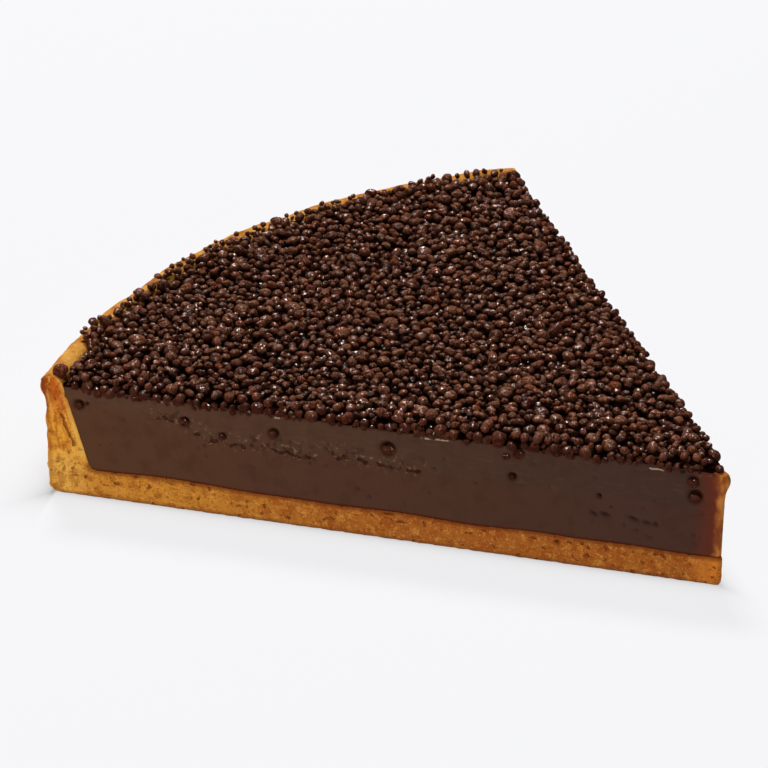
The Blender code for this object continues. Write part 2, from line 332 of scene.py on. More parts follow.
def crust_marks(source):
    """Pores and cracks in the cut pastry: (along, height, half width, half height, depth, tilt)."""
    marks = []
    base_end = along_of(FLAT_R)
    for side in (-1, 1):
        for _ in range(130):
            a = side * source.uniform(0, base_end + 6 * MM)
            h = source.uniform(0.3, 5.0) * MM
            size = source.uniform(0.10, 0.24) * MM
            marks.append((a, h, size * source.uniform(1, 2.2), size, size, source.uniform(-25, 25)))
        for _ in range(9):
            a = side * source.uniform(4 * MM, base_end)
            h = source.uniform(0.8, 4.6) * MM
            size = source.uniform(0.14, 0.20) * MM
            marks.append((a, h, size * source.uniform(4, 7), size, 0.25 * MM, source.uniform(-6, 6)))
        for _ in range(34):
            up = source.uniform(0, 1)
            z = FOOT_Z * 0.4 + up * (CREST_Z - FOOT_Z * 0.4)
            inner = FOOT_R + WALL_SLOPE * (z - FOOT_Z)
            a = side * along_of(source.uniform(inner + 0.8 * MM, RADIUS - 0.9 * MM))
            size = source.uniform(0.13, 0.22) * MM
            marks.append((a, z, size, size * source.uniform(1, 4), 0.2 * MM, side * source.uniform(4, 22)))
    marks.append((-AIR_HOLE[0] * MM, AIR_HOLE[1] * MM, 0.42 * MM, 0.42 * MM, 0.9 * MM, 0))
    return marks


def make_crust():
    skin = Skin()
    section, base_columns, wall_end = crust_section()
    r, z = section[..., 0], section[..., 1]
    sides = []
    for side in (-1, 1):
        along = side * (along_of(0.0) + r)
        flat = on_cut(along.ravel(), z.ravel())
        index = skin.add(flat.reshape(*r.shape, 3))
        if side == 1:
            index[0] = sides[0][0]
        for column in range(wall_end, len(r)):
            index[column, 0], index[column, -1] = index[wall_end - 1, 0], index[wall_end - 1, -1]
        skin.grid(index, flip=side == 1)
        sides.append(index)
    cut_count = len(skin.points)
    front, back = sides

    # The baked outside, from the corner of the underside over the crest to just inside it.
    knee = base_columns - 1
    while z[knee + 1, 0] <= 0:
        knee += 1
    inside_end = wall_end - 8
    def rim(index):
        return np.concatenate([index[knee:wall_end, 0], index[-1, 1:], index[inside_end:wall_end - 1, -1][::-1]])
    profile = np.concatenate([section[knee:wall_end, 0], section[-1, 1:],
                              section[inside_end:wall_end - 1, -1][::-1]])
    turns = np.linspace(0, SLICE_ANGLE, int(RADIUS * SLICE_ANGLE / TURN_STEP))[1:-1]
    turned = np.stack([-profile[None, :, 0] * np.cos(turns)[:, None],
                       profile[None, :, 0] * np.sin(turns)[:, None],
                       np.broadcast_to(profile[None, :, 1], (len(turns), len(profile)))], -1)
    wall = np.vstack([rim(front)[None], skin.add(turned), rim(back)[None]])
    skin.grid(wall, flip=True)

    # The underside and the inside that the filling hides.
    ring = wall[1:-1, 0]
    under = np.concatenate([front[:knee + 1, 0], ring, back[knee:0:-1, 0]])
    skin.patch(under, 2.5 * MM, 11, flip=True)
    ring = wall[1:-1, -1]
    within = np.concatenate([front[:inside_end + 1, -1], ring, back[inside_end:0:-1, -1]])
    added = skin.patch(within, 2.5 * MM, 12)
    skin.points[added, 2] = inner_height(skin.points[added])

    points = skin.points
    count = len(points)
    cut_out = np.zeros((count, 3))
    along = np.zeros(count)
    row = np.zeros(count)
    for side, index in zip((-1, 1), sides):
        along[index] = side * (along_of(0.0) + r)
        row[index] = np.linspace(0, 1, CRUST_ROWS)[None, :]
    cut_out[:cut_count, :2] = cut_path(along[:cut_count])[1]
    wall_out = np.zeros((count, 3))
    slope = np.gradient(profile, axis=0)
    slope /= np.linalg.norm(slope, axis=1)[:, None]
    angles = np.concatenate([[0], turns, [SLICE_ANGLE]])
    wall_out[wall] = np.stack([-slope[None, :, 1] * np.cos(angles)[:, None],
                               slope[None, :, 1] * np.sin(angles)[:, None],
                               np.broadcast_to(-slope[None, :, 0], (len(angles), len(profile)))], -1)
    height = points[:, 2].copy()
    on_section = np.linalg.norm(cut_out, axis=1) > 0.5
    on_wall = np.linalg.norm(wall_out, axis=1) > 0.5

    source = np.random.default_rng(5)
    pores = np.zeros(count)
    pores[on_section] = dents(along[on_section], height[on_section], crust_marks(source))
    crumb = 0.09 * MM * rough3(points, 1.5 * MM, 21) + 0.07 * MM * noise3(points, 0.7 * MM, 31)
    edge = np.minimum(row, 1 - row) * 2
    rounding = 0.16 * MM * (1 - smooth(edge, 0, 0.12)) * (1 + 1.2 * noise3(points, 2 * MM, 41))
    interface = smooth(row, 0.9, 1.0)
    cut_move = (CUT_SWELL + crumb - pores) * (1 - 0.7 * interface) - rounding * (1 - interface)
    blisters = 0.30 * MM * rough3(points, 3.4 * MM, 51) + 0.14 * MM * noise3(points, 1.2 * MM, 61)
    blisters *= 1 - 0.55 * smooth(height, CREST_Z - 2 * MM, CREST_Z)
    skin.points = uneven(points)
    skin.points += cut_out * np.where(on_section, cut_move, 0)[:, None]
    skin.points += wall_out * np.where(on_wall & (height > 0), blisters, 0)[:, None]
    skin.points[:, 2] = np.maximum(skin.points[:, 2], 0)

    radial = np.hypot(points[:, 0], points[:, 1])
    inner_r = FOOT_R + WALL_SLOPE * (height - FOOT_Z)
    marks = {
        "section": on_section & ~on_wall,
        "pore": np.clip(pores / (0.3 * MM), 0, 1),
        "yellow_skin": on_section * (1 - smooth(np.abs(radial - inner_r - 0.45 * MM), 0.1 * MM, 0.6 * MM))
        * smooth(height, BASE_THICKNESS + 1 * MM, BASE_THICKNESS + 3 * MM),
        "tipward": 1 - np.clip(np.abs(along) / along_of(RADIUS), 0, 1),
        "high": np.clip(height / CRUST_HEIGHT, 0, 1),
        "toast": smooth(height, CRUST_HEIGHT - 6 * MM, CRUST_HEIGHT) * smooth(radial, CREST_R, RADIUS),
        "at_edge": on_section * (1 - smooth(row, 0, 0.18 + 0.25 * smooth(height, 0.76 * CRUST_HEIGHT, 0.92 * CRUST_HEIGHT))),
        "soaked": on_section * smooth(row, 0.82, 0.98) * (1 - smooth(height, FOOT_Z - 0.3 * MM, FOOT_Z + 0.8 * MM)),
    }
    piece = skin.mesh("pastry_crust", marks)
    piece.data.set_sharp_from_angle(angle=math.radians(75))
    return piece


def inner_height(points):
    """The height of the shell's inside over points seen from above."""
    r = np.hypot(points[:, 0], points[:, 1])
    inward = np.clip((r - FLAT_R) / (FOOT_R - FLAT_R), 0, 1)
    fillet = FOOT_Z - (FOOT_Z - BASE_THICKNESS) * np.sqrt(1 - inward ** 2)
    return np.where(r < FOOT_R, fillet, FOOT_Z + (r - FOOT_R) / WALL_SLOPE)


# ---- Chocolate filling ---------------------------------------------------------------------------

FILLING_ROWS = 46
EDGE_ROWS = 4
EDGE_ROUNDING = 0.35 * MM

# Places on the front cut, as (distance from the tip, height) in millimetres: the line along which the
# knife dragged pearls through the chocolate, in two runs; where the top edge of the cut shines; and the
# scuffs, each with its half width, half height and tilt in degrees.
DRAG_LINES = (
    ((99.0, 18.2), (96.0, 17.6), (92.6, 16.0), (90.0, 14.8), (85.1, 14.5), (80.5, 14.9), (76.4, 14.4), (71.5, 13.9)),
    ((68.8, 16.6), (67.1, 14.9), (63.5, 14.8), (59.4, 14.6), (54.8, 14.2), (52.4, 14.4)),
)
SHINY_EDGES = (
    ((98.4, 21.2), (96.4, 21.2)), ((78.8, 21.1), (74.3, 21.2)), ((51.8, 21.0), (47.2, 21.1)),
    ((12.3, 21.1), (9.9, 21.1)), ((3.7, 21.0), (1.8, 21.1)),
)
SCUFFS = (
    (22.1, 10.8, 0.8, 0.35, -35), (20.1, 10.9, 1.0, 0.4, -15), (15.2, 10.8, 1.0, 0.4, -20), (12.9, 10.4, 0.8, 0.35, -10),
    (11.4, 10.3, 0.5, 0.4, -40), (12.4, 7.7, 0.7, 0.2, -20), (72.3, 13.0, 0.3, 0.3, 0), (52.7, 14.3, 0.4, 0.35, 0),
    (63.7, 9.2, 0.3, 0.3, 0), (61.6, 7.9, 0.35, 0.3, 0), (60.3, 8.5, 0.3, 0.2, 0),
)


def filling_marks(source):
    """Pits and scuffs in the cut chocolate, and the hollows round the pearls pressed into it."""
    marks = []
    for side in (-1, 1):
        for _ in range(45):
            a = side * source.uniform(2 * MM, along_of(FLAT_R))
            h = source.uniform(6.5, 20.5) * MM
            size = source.uniform(0.10, 0.24) * MM
            marks.append((a, h, size * source.uniform(1, 1.6), size, size * 1.2, 0))
    for distance, height, wide, tall, tilt in SCUFFS:
        marks.append((-distance * MM, height * MM, wide * MM, tall * MM, 0.85 * tall * MM, tilt))
    for distance, height, across, deep in IN_CUT:
        half = 0.44 * across * MM
        above = 0.27 * across * MM
        marks.append((-distance * MM - 0.6 * above, height * MM + above, half, half, 0.5 * deep * across * MM, 0))
    return marks


def drag_height(along):
    """The height of the line down to which the knife smeared the cut chocolate."""
    line = np.array([p for run in DRAG_LINES for p in run])[::-1] * MM
    return np.where(along < 0, np.interp(-along, line[:, 0], line[:, 1]), 14.5 * MM)


def make_filling():
    skin = Skin()
    tip_r = -along_of(0.0)
    columns = int((FLAT_R - tip_r) / CUT_STEP)
    r = np.linspace(tip_r, FLAT_R, columns)
    quarter = np.linspace(-math.pi / 2, 0, 6)[1:]
    low = np.vstack([np.stack([r, 0 * r + BASE_THICKNESS], 1),
                     np.stack([FLAT_R + (FOOT_R - FLAT_R) * np.cos(quarter),
                               FOOT_Z + (FOOT_Z - BASE_THICKNESS) * np.sin(quarter)], 1)])
    top_r = FOOT_R + WALL_SLOPE * (FILLING_TOP - FOOT_Z)
    share = (low[:, 0] - tip_r) / (low[-1, 0] - tip_r)
    high = np.stack([tip_r + share * (top_r - tip_r), 0 * share + FILLING_TOP], 1)
    up = np.linspace(0, 1, FILLING_ROWS)[None, :, None]
    section = low[:, None] * (1 - up) + (high[:, None] - (0, EDGE_ROUNDING)) * up
    swing = np.linspace(0, math.pi / 2, EDGE_ROWS + 1)[1:]
    rounded = np.stack([np.broadcast_to(high[:, None, 0], (len(high), EDGE_ROWS)),
                        FILLING_TOP - EDGE_ROUNDING + EDGE_ROUNDING * np.broadcast_to(np.sin(swing), (len(high), EDGE_ROWS))], -1)
    section = np.concatenate([section, rounded], 1)
    inset = np.concatenate([np.zeros(FILLING_ROWS), EDGE_ROUNDING * (1 - np.cos(swing))])
    insets = np.broadcast_to(inset, section.shape[:2])
    sides = []
    for side in (-1, 1):
        along = side * (along_of(0.0) + section[..., 0])
        flat = on_cut(along.ravel(), section[..., 1].ravel(), insets.ravel())
        index = skin.add(flat.reshape(*section.shape[:2], 3))
        if side == 1:
            index[0] = sides[0][0]
        skin.grid(index, flip=side == 1)
        sides.append(index)
    cut_count = len(skin.points)
    front, back = sides
    turns = np.linspace(0, SLICE_ANGLE, 130)[1:-1]
    ring = skin.add(np.stack([-top_r * np.cos(turns), top_r * np.sin(turns), 0 * turns + FILLING_TOP], 1))
    top = np.concatenate([front[:, -1], ring, back[:0:-1, -1]])
    added = skin.patch(top, 2.5 * MM, 13)
    skin.points[added, 2] = FILLING_TOP
    hidden = np.concatenate([front[:, 0], front[-1, 1:], ring, back[-1, :0:-1], back[:0:-1, 0]])
    added = skin.patch(hidden, 2.5 * MM, 14, flip=True)
    skin.points[added, 2] = inner_height(skin.points[added])

    points = skin.points
    count = len(points)
    along = np.zeros(count)
    for side, index in zip((-1, 1), sides):
        along[index] = side * (along_of(0.0) + section[..., 0])
    out = np.zeros((count, 3))
    out[:cut_count, :2] = cut_path(along[:cut_count])[1]
    height = points[:, 2].copy()
    source = np.random.default_rng(8)
    pits = np.zeros(count)
    pits[:cut_count] = dents(along[:cut_count], height[:cut_count], filling_marks(source))
    drag = drag_height(along)
    smeared = smooth(height, drag - 0.4 * MM, drag + 0.4 * MM)
    dragged = smooth(-along, 50 * MM, 54 * MM) * (1 - smooth(-along, 100 * MM, 104 * MM))
    near_line = dragged * np.exp(-((height - drag - 0.9 * MM) / (1.7 * MM)) ** 2)
    streaks = 0.035 * MM * noise3(points * (1, 1, 0.12), 0.9 * MM, 82)
    smears = 0.05 * MM * rough3(points * (0.6, 0.6, 1.6), 1.6 * MM, 83) * smeared
    gentle = 0.06 * MM * noise3(points, 9 * MM, 84)
    near_base = 1 - smooth(height, BASE_THICKNESS, BASE_THICKNESS + 0.5 * MM)
    move = streaks + smears + gentle - pits - 0.10 * MM * near_base
    lip_height = (height - FILLING_TOP + 1.5 * MM) / (1.9 * MM)
    lip = 0.9 * MM * np.exp(-(along / (1.3 * MM)) ** 2) * np.exp(-lip_height ** 2)
    skin.points = uneven(points)
    skin.points += out * np.where(np.arange(count) < cut_count, move + lip, 0)[:, None]
    marks = {
        "pit": np.clip(pits / (0.4 * MM), 0, 1),
        "smeared": smeared,
        "near_line": near_line,
        "from_tip": np.clip(np.abs(along) / (10 * MM), 0, 1),
        "height": np.clip((height - BASE_THICKNESS) / (FILLING_TOP - BASE_THICKNESS), 0, 1),
        "tipward": 1 - np.clip(np.abs(along) / along_of(RADIUS), 0, 1),
    }
    piece = skin.mesh("chocolate_cream", marks)
    piece.data.set_sharp_from_angle(angle=math.radians(70))
    return piece


# ---- Pearls ---------------------------------------------------------------------------------------

HEAP_LIMIT = 2.9 * MM
SINK = 0.35 * MM
MIDDLE_SIZE = 0.80 * MM
CREST_MIDDLE = (CREST_R + RADIUS + LIP_OVERHANG) / 2

# Pearls on the crest of the wall and pressed into the front cut, each by its distance from the
# tart's centre and its angle from the front cut, or its distance from the tip and its height in the
# cut; then its size across, and for those in the cut how deep it sits, in parts of its radius.
ON_CREST = (
    (118.2, 0.62, 2.6), (116.5, 1.0, 1.7), (114.6, 1.5, 2.7), (120.3, 10.0, 1.1), (118.9, 16.2, 1.9),
    (118.5, 26.3, 1.9), (118.2, 29.1, 2.0), (119.2, 34.5, 1.8), (119.1, 45.0, 1.8), (119.2, 51.0, 1.7),
    (119.5, 52.6, 1.5), (118.9, 55.6, 1.6),
)
IN_CUT = (
    (114.0, 17.9, 2.0, 1.0), (94.6, 17.4, 1.9, 1.0), (87.8, 15.5, 1.7, 0.8), (78.4, 17.4, 2.0, 0.95),
    (57.9, 17.3, 2.6, 0.95), (36.1, 15.4, 1.6, 1.1), (4.4, 16.1, 2.5, 1.0), (112.6, 18.6, 0.9, 0.9),
    (21.1, 14.1, 1.0, 1.2), (5.0, 19.2, 2.0, 0.6), (36.2, 21.6, 1.9, 0.30), (34.9, 20.3, 1.9, 0.30),
    (37.1, 19.4, 1.4, 0.50), (23.4, 22.3, 2.6, 0.20), (21.4, 21.2, 1.8, 0.30), (44.1, 21.3, 1.5, 0.60),
    (71.5, 22.2, 2.1, 0.20), (65.1, 22.9, 2.2, 0.25), (59.1, 22.0, 1.4, 0.30), (57.6, 22.2, 1.5, 0.30),
    (12.3, 22.4, 2.0, 0.25),
)

# How far from the centre the heap spreads, in millimetres, by the angle from the front cut in degrees:
# it leaves most of the crest bare and lies over it only in two places.
HEAP_EDGE = (
    (0, 5.5, 7.0, 9.5, 10.5, 49, 50, 53, 54, 58, 60),
    (117.2, 117.5, 120.2, 120.0, 119.0, 118.7, 119.3, 119.3, 118.6, 118.5, 117.7),
)


def cube_sphere(cells):
    """Directions over a sphere from a cube's six faces, with the quads between them."""
    ids, points, faces = {}, [], []
    turn = np.tan(np.linspace(-math.pi / 4, math.pi / 4, cells + 1))
    for axis in range(3):
        for sign in (-1, 1):
            index = np.zeros((cells + 1, cells + 1), int)
            for i, j in itertools.product(range(cells + 1), repeat=2):
                p = np.zeros(3)
                p[axis] = sign
                p[(axis + 1) % 3] = turn[i] * sign
                p[(axis + 2) % 3] = turn[j]
                p /= np.linalg.norm(p)
                key = tuple(np.round(p, 6))
                if key not in ids:
                    ids[key] = len(points)
                    points.append(p)
                index[i, j] = ids[key]
            quad = np.stack([index[:-1, :-1], index[1:, :-1], index[1:, 1:], index[:-1, 1:]], -1)
            faces.append(quad.reshape(-1, 4))
    return np.array(points), np.vstack(faces)


def turned_about(count, source, upright):
    """Random rotations; an upright of 1 only turns things about Z, and 0 tumbles them freely."""
    yaw = source.uniform(0, math.tau, count)
    tilt = source.normal(0, 1, count) * (1 - upright) * 1.2
    lean = source.uniform(0, math.tau, count)

    def about(axis, angle):
        c, s = np.cos(angle), np.sin(angle)
        m = np.zeros((count, 3, 3))
        m[:] = np.eye(3)
        i, j = [(1, 2), (2, 0), (0, 1)][axis]
        m[:, i, i], m[:, j, j], m[:, i, j], m[:, j, i] = c, c, -s, s
        return m

    return about(2, lean) @ about(0, tilt) @ about(2, yaw)


def bumps(directions, count, source, number, height, width):
    """Soft lumps and hollows at random places on each of a number of balls."""
    reach = np.zeros((count, len(directions)))
    for _ in range(number):
        middle = source.normal(size=(count, 1, 3))
        middle /= np.linalg.norm(middle, axis=2, keepdims=True)
        facing = np.sum(directions[None] * middle, 2)
        reach += source.uniform(-height, height, (count, 1)) * np.exp(-(1 - facing) / width)
    return reach


def flattened(directions, count, source, sides):
    """Balls with a number of soft flat sides, as nuggets pressed together have."""
    softness = 14
    total = np.ones((count, len(directions)))
    for _ in range(sides):
        middle = source.normal(size=(count, 1, 3))
        middle /= np.linalg.norm(middle, axis=2, keepdims=True)
        facing = np.maximum(np.sum(directions[None] * middle, 2), 0.05)
        total += (facing / source.uniform(0.68, 0.94, (count, 1))) ** softness
    return 1.07 * total ** (-1 / softness)


def pearl_shapes(kind, count, directions, source):
    """The outlines of pearls of one kind, about 1 in radius: an array (count, directions, 3)."""
    lumps = 1.5 if kind in ("lumpy", "large") else 1.0
    reach = flattened(directions, count, source, 7) + lumps * bumps(directions, count, source, 4, 0.10, 0.50)
    reach += lumps * bumps(directions, count, source, 7, 0.10, 0.12)
    if kind == "dimpled":
        hollow = np.array([0, 0, 1.0]) + source.normal(0, 0.4, (count, 1, 3))
        hollow /= np.linalg.norm(hollow, axis=2, keepdims=True)
        facing = np.sum(directions[None] * hollow, 2)
        reach -= source.uniform(0.18, 0.36, (count, 1)) * np.exp(-(1 - facing) / 0.09)
    if kind == "joined":
        side = source.uniform(0.40, 0.62, (count, 1))
        small = source.uniform(0.55, 0.95, (count, 1))
        along = directions[None, :, 0]
        reach *= np.maximum(ball_reach(along, -side * 0.7, 0.85), ball_reach(along, side, 0.85 * small))
    shape = directions[None] * reach[..., None]
    size = np.stack([1 + source.normal(0, 0.08, count), 1 + source.normal(0, 0.08, count),
                     source.uniform(0.80, 0.98, count)], 1)
    if kind == "long":
        size[:, 0] *= source.uniform(1.20, 1.50, count)
        size[:, 1] *= 0.88
    return shape * size[:, None]


def ball_reach(facing, centre, radius):
    """How far a ball with its centre on an axis reaches from the origin, by direction."""
    under = radius ** 2 - centre ** 2 * (1 - facing ** 2)
    return np.where(under > 0, centre * facing + np.sqrt(np.maximum(under, 0)), 0.05)


def rest_height(x, y, size):
    """The lowest height at which a ball's centre rests on the filling or on the crest of the wall."""
    r = np.hypot(x, y)
    ground = FILLING_TOP - SINK + size
    half = CREST_MIDDLE - CREST_R
    reach = half + size
    on_crest = CRUST_HEIGHT - half - 0.1 * MM + np.sqrt(np.maximum(reach ** 2 - (r - CREST_MIDDLE) ** 2, 0))
    return np.where(r > CREST_MIDDLE - reach, np.maximum(ground, on_crest), ground)


def edge_pearls(source, laid):
    """Two rows of pearls along each cut, which lean out over the edge of the filling and leave room for
    those already laid."""
    rows = []
    for side, (low, high, middle) in itertools.product((-1, 1), ((-0.45, 0.15, 0.66), (0.1, 0.8, 0.84))):
        at = (0.9 if high < 0.1 else 4.0) * MM
        while at < along_of(CREST_R - 2.6 * MM):
            size = float(np.clip(source.lognormal(math.log(middle), 0.24), 0.36, 1.25)) * MM
            at += size * source.uniform(0.9, 1.25)
            sag = 0.32 * math.sin(at / (19 * MM) + side)
            place, out = cut_path(np.array([side * at]))
            inset = size * source.uniform(0.15, 0.75)
            x, y = place[0] - out[0] * inset
            z = FILLING_TOP + (source.uniform(low, high) + sag) * MM
            if all(math.dist((x, y, z), other[:3]) > 0.8 * (size + other[3]) for other in laid):
                rows.append((x, y, z, size))
            at += size * source.uniform(0.9, 1.25)
    return rows


def stray_pearls():
    """The pearls that lie on the crest of the wall and those the knife pressed into the front cut."""
    rows = []
    for r, turn, across in ON_CREST:
        x, y = -r * MM * math.cos(math.radians(turn)), r * MM * math.sin(math.radians(turn))
        size = across * MM / 2
        rows.append((x, y, float(rest_height(np.array(x), np.array(y), size)) - 0.35 * MM, size))
    for distance, height, across, deep in IN_CUT:
        size = across * MM / 2
        rows.append((-(TIP_START + distance * MM), deep * size, height * MM, size))
    return rows


def pile_pearls(source):
    """Drops pearls one at a time, each into the lowest of a few places. Returns rows of x, y, z and
    radius in the tart's frame."""
    laid_first = stray_pearls()
    laid_first += edge_pearls(source, laid_first)
    heap = np.zeros((7000, 4))
    laid = len(laid_first)
    heap[:laid] = laid_first
    tries = 8
    sizes = np.clip(source.lognormal(math.log(MIDDLE_SIZE / MM), 0.31, len(heap) - laid), 0.40, 1.5) * MM
    for size in sizes:
        turn = source.uniform(0, SLICE_ANGLE, tries)
        limit = (np.interp(np.degrees(turn), *HEAP_EDGE) + source.uniform(-0.5, 0.4, tries)) * MM
        spread_out = source.uniform(0, 1, tries)
        near_rim = source.uniform(0, 1, tries) < 0.14
        r = (limit - 0.8 * size) * np.sqrt(np.where(near_rim, 0.93 + 0.07 * spread_out, spread_out))
        x, y = -r * np.cos(turn), r * np.sin(turn)
        from_back = r * np.sin(SLICE_ANGLE - turn)
        margin = size * source.uniform(0.35, 1.0, tries)
        good = (y > margin) & (from_back > margin) & (r > 1.4 * MM)
        if not good.any():
            continue
        x, y = x[good], y[good]
        ground = rest_height(x, y, size)
        near = heap[:laid]
        near = near[(np.abs(near[:, 0] - x.mean()) < 200 * MM)]
        apart = (x[:, None] - near[:, 0]) ** 2 + (y[:, None] - near[:, 1]) ** 2
        reach = (0.93 * (size + near[:, 3])) ** 2
        rise = near[:, 2] + np.sqrt(np.maximum(reach - apart, 0))
        z = np.maximum(ground, np.where(apart < reach, rise, 0).max(1))
        best = int(np.argmin(z - ground))
        out = float(np.hypot(x[best], y[best]))
        top = FILLING_TOP + HEAP_LIMIT * (0.55 + 0.45 * smooth(out, 1 * MM, 9 * MM))
        over_crest = max(limit[good][best] - 118 * MM, 0)
        top += 0.7 * over_crest * smooth(out, CREST_R - 5 * MM, CREST_R - 1 * MM)
        if z[best] + size < top:
            heap[laid] = x[best], y[best], z[best], size
            laid += 1
    return heap[:laid]


def make_pearls(name, kind, heap, cells, seed, upright=0.5):
    """One piece of all the pearls of one kind, at the places and radii in heap."""
    source = np.random.default_rng(seed)
    directions, quads = cube_sphere(cells)
    shapes = pearl_shapes(kind, len(heap), directions, source)
    shapes = np.einsum("nij,nvj->nvi", turned_about(len(heap), source, upright), shapes)
    centres = uneven(heap[:, :3])
    skin = Skin()
    skin.points = (shapes * heap[:, None, 3:4] + centres[:, None]).reshape(-1, 3)
    steps = (np.arange(len(heap)) * len(directions))[:, None, None]
    skin.faces = (quads[None] + steps).reshape(-1, 4).tolist()
    per_pearl = len(directions)
    up = (shapes[..., 2] / np.abs(shapes[..., 2]).max(1)[:, None]).ravel()
    # Painted shade, with the glaze the pearls sit in: undersides, pearls deep in the heap and pearls pressed into the
    # cut come out darker.
    depth = FILLING_TOP + HEAP_LIMIT - skin.points[:, 2]
    sunk = np.clip(0.8 * smooth(-up, -0.2, 0.9) + smooth(depth, 0.8 * MM, 2.4 * MM), 0, 1)
    within = smooth(np.repeat(from_cuts(heap), per_pearl), 0.6 * MM, 2.2 * MM)
    in_cut = 1 - smooth(skin.points[:, 2], FILLING_TOP - 1.6 * MM, FILLING_TOP - 0.6 * MM)
    marks = {
        "glaze_and_painted_shade": sunk * (1 - in_cut) * (0.4 + 0.5 * within) + 0.35 * in_cut,
        # Painted shade: each pearl's sides are darker than its top.
        "side": 1 - smooth(up, 0.0, 0.75),
        # Partly their own colour, partly painted shade against the low front lamp: pearls near the cuts are darker and
        # redder.
        "at_cut": 1 - within,
        "tint": np.repeat(source.uniform(0, 1, len(heap)), per_pearl),
        "warmth": np.repeat(source.uniform(0, 1, len(heap)), per_pearl),
    }
    return skin.mesh(name, marks)


def from_cuts(heap):
    """How far each pearl is from the nearer of the two cuts."""
    from_back = heap[:, 0] * -math.sin(SLICE_ANGLE) - heap[:, 1] * math.cos(SLICE_ANGLE)
    return np.minimum(heap[:, 1], from_back)


def share_out(heap, source):
    """Splits the pearls into kinds: a dictionary of kind to rows of heap."""
    low = heap[:, 2] + heap[:, 3] < FILLING_TOP + 1.45 * MM
    hidden = low & (from_cuts(heap) > 2.0 * MM) & (np.hypot(heap[:, 0], heap[:, 1]) < CREST_R - 2 * MM)
    small = ~hidden & (heap[:, 3] < 0.60 * MM)
    large = ~hidden & (heap[:, 3] > 0.95 * MM)
    rest = ~hidden & ~small
    draw = source.uniform(0, 1, len(heap))
    return {
        "under": heap[hidden],
        "small": heap[small],
        "round": heap[rest & ~large & (draw < 0.34)],
        "lumpy": heap[rest & ~large & (draw >= 0.34) & (draw < 0.62)],
        "large": heap[large & (draw < 0.62)],
        "dimpled": heap[rest & (draw >= 0.62) & (draw < 0.72)],
        "joined": heap[rest & (draw >= 0.72) & (draw < 0.86)],
        "long": heap[rest & (draw >= 0.86)],
    }


def make_bed():
    """The low bed of glaze that the pearls stick in, which fills the gaps between them."""
    # Its near-black colour is painted shade in the gaps between the pearls, over the glaze.
    skin = Skin()
    arc_r = CREST_R - 0.1 * MM
    end = along_of(arc_r)
    along = np.linspace(2.2 * MM, end, 230)
    along = np.concatenate([-along[::-1], along])
    rag = 0.12 * MM + 0.15 * MM * noise3(np.column_stack([along, along * 0, along * 0 + 1]), 2 * MM, 91)
    turns = np.linspace(0, SLICE_ANGLE, 230)[2:-2][::-1]
    ring = np.stack([-arc_r * np.cos(turns), arc_r * np.sin(turns), 0 * turns + FILLING_TOP], 1)
    lower = skin.add(np.vstack([on_cut(along, FILLING_TOP - 0.3 * MM, rag), ring - (0, 0, 0.3 * MM)]))
    middle = skin.add(np.vstack([on_cut(along, FILLING_TOP + 0.2 * MM, rag), ring + (0, 0, 0.2 * MM)]))
    ring[:, :2] *= 1 - 0.5 * MM / arc_r
    upper = skin.add(np.vstack([on_cut(along, FILLING_TOP + 0.45 * MM, rag + 0.4 * MM), ring + (0, 0, 0.45 * MM)]))
    bands = np.stack([lower, middle, upper])
    skin.grid(np.concatenate([bands, bands[:, :1]], 1))
    added = skin.patch(upper, 0.9 * MM, 15)
    skin.points[added, 2] = FILLING_TOP + 0.45 * MM + 0.30 * MM * noise3(skin.points[added], 2.0 * MM, 92)
    added = skin.patch(lower, 3 * MM, 16, flip=True)
    skin.points[added, 2] = FILLING_TOP - 0.3 * MM
    skin.points = uneven(skin.points)
    return skin.mesh("pearl_bed")


# ---- Materials -------------------------------------------------------------------------------------


def srgb(*values):
    """A colour as the eye reads it, 0 to 255, as the linear light that shaders use."""
    return tuple((v / 255 / 12.92 if v <= 10 else ((v / 255 + 0.055) / 1.055) ** 2.4) for v in values) + (1.0,)


